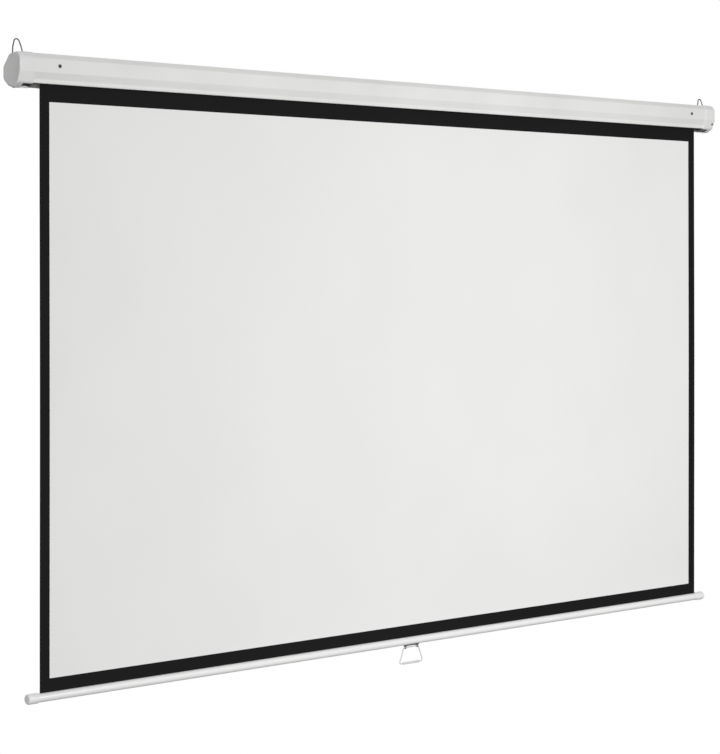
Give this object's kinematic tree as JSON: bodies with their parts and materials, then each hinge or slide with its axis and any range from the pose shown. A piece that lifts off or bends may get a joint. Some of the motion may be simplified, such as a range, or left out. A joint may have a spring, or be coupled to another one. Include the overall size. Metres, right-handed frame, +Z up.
{
  "type": "pull-down projection screen",
  "caption": "Spring-roller projection screen in a long faceted case, black-bordered white cloth drawn down by a round bar with a wire pull handle, hung from wire loops at its ends.",
  "frame": {"origin": "centre of the flat back of the case, where it lies against the wall", "axes": "+X along the case to the right seen from the front, +Y into the wall, +Z up"},
  "size_m": [2.4, 0.0638, 1.4761],
  "materials": {
    "case_paint": "powder coated, fine satin",
    "cap_plastic": "moulded, matt",
    "dark_screw": "dark passivated zinc",
    "zinc_steel": "zinc plated",
    "wire_steel": "dull zinc plated wire",
    "handle_enamel": "pale grey enamel on wire",
    "tube_steel": "galvanised",
    "spring_steel": "oiled spring steel",
    "lock_steel": "stamped",
    "nylon": "moulded nylon",
    "cloth_white": "matt white coated cloth",
    "cloth_black": "matt black print",
    "cloth_back": "matt black coat",
    "bar_paint": "gloss white",
    "bar_cap_plastic": "moulded white",
    "sleeve_plastic": "pale grey sleeve"
  },
  "bodies": {
    "case": {"case_front": "case_paint", "case_bevel": "case_paint", "case_top": "case_paint", "case_rear_slope": "case_paint", "case_back": "case_paint", "case_floor": "case_paint", "case_lip": "case_paint", "left_end_cap": "cap_plastic", "right_end_cap": "cap_plastic", "left_cap_screw": "zinc_steel", "right_cap_screw": "zinc_steel", "side_screw": "dark_screw", "left_front_screw": "dark_screw", "right_front_screw": "dark_screw", "left_screw_nut": "zinc_steel", "right_screw_nut": "zinc_steel", "left_roller_bracket": "zinc_steel", "right_roller_bracket": "zinc_steel", "spring_shaft": "zinc_steel", "ratchet_wheel": "lock_steel", "spring_anchor": "nylon", "shaft_clip": "spring_steel", "rewind_spring": "spring_steel", "bearing_bush": "nylon", "screen_cloth": "cloth_white", "black_border": "cloth_black", "dark_backing": "cloth_back"},
    "roller": {"roller_tube": "tube_steel", "left_roller_plug": "nylon", "right_roller_plug": "nylon", "shaft_support": "nylon", "pawl_pins": "zinc_steel", "idler_pin": "zinc_steel", "cloth_spline": "nylon", "cloth_wrap": "cloth_back"},
    "pawl_a": {"lock_pawl_a": "lock_steel"},
    "pawl_b": {"lock_pawl_b": "lock_steel"},
    "bar": {"bar_tube": "bar_paint", "left_bar_cap": "bar_cap_plastic", "right_bar_cap": "bar_cap_plastic", "hem_rod": "zinc_steel", "cloth_hem": "cloth_back", "handle_bracket": "zinc_steel", "handle_rivets": "dark_screw"},
    "pull_handle": {"pull_handle": "handle_enamel", "handle_sleeve": "sleeve_plastic"},
    "left_loop": {"left_hanging_loop": "wire_steel"},
    "right_loop": {"right_hanging_loop": "wire_steel"}
  },
  "joints": [
    {"name": "bar_travel", "type": "slide", "parent": "case", "child": "bar", "axis": [0, 0, 1], "range_m": [0, 1.2975], "deforming": ["screen_cloth", "black_border", "dark_backing"]},
    {"name": "roller_turn", "type": "hinge", "parent": "case", "child": "roller", "pos_m": [0, -0.0235, 0], "axis": [-1, 0, 0], "range_deg": [0, 4320]},
    {"name": "handle_swing", "type": "hinge", "parent": "bar", "child": "pull_handle", "pos_m": [0, -0.039, -1.3596], "axis": [1, 0, 0], "range_deg": [-90, 90]},
    {"name": "left_loop_slide", "type": "slide", "parent": "case", "child": "left_loop", "axis": [0, 0.1322, 0.9912], "range_m": [-0.02, 0]},
    {"name": "right_loop_slide", "type": "slide", "parent": "case", "child": "right_loop", "axis": [0, 0.1322, 0.9912], "range_m": [-0.01, 0.01]},
    {"name": "pawl_a_drop", "type": "hinge", "parent": "roller", "child": "pawl_a", "pos_m": [-1.147, -0.0127, 0], "axis": [1, 0, 0], "range_deg": [0, 15.9]},
    {"name": "pawl_b_drop", "type": "hinge", "parent": "roller", "child": "pawl_b", "pos_m": [-1.147, -0.0343, 0], "axis": [1, 0, 0], "range_deg": [0, 15.9]}
  ],
  "couplings": [
    {"joint": "roller_turn", "follows": "bar_travel", "rad_per_m": 58.11}
  ]
}
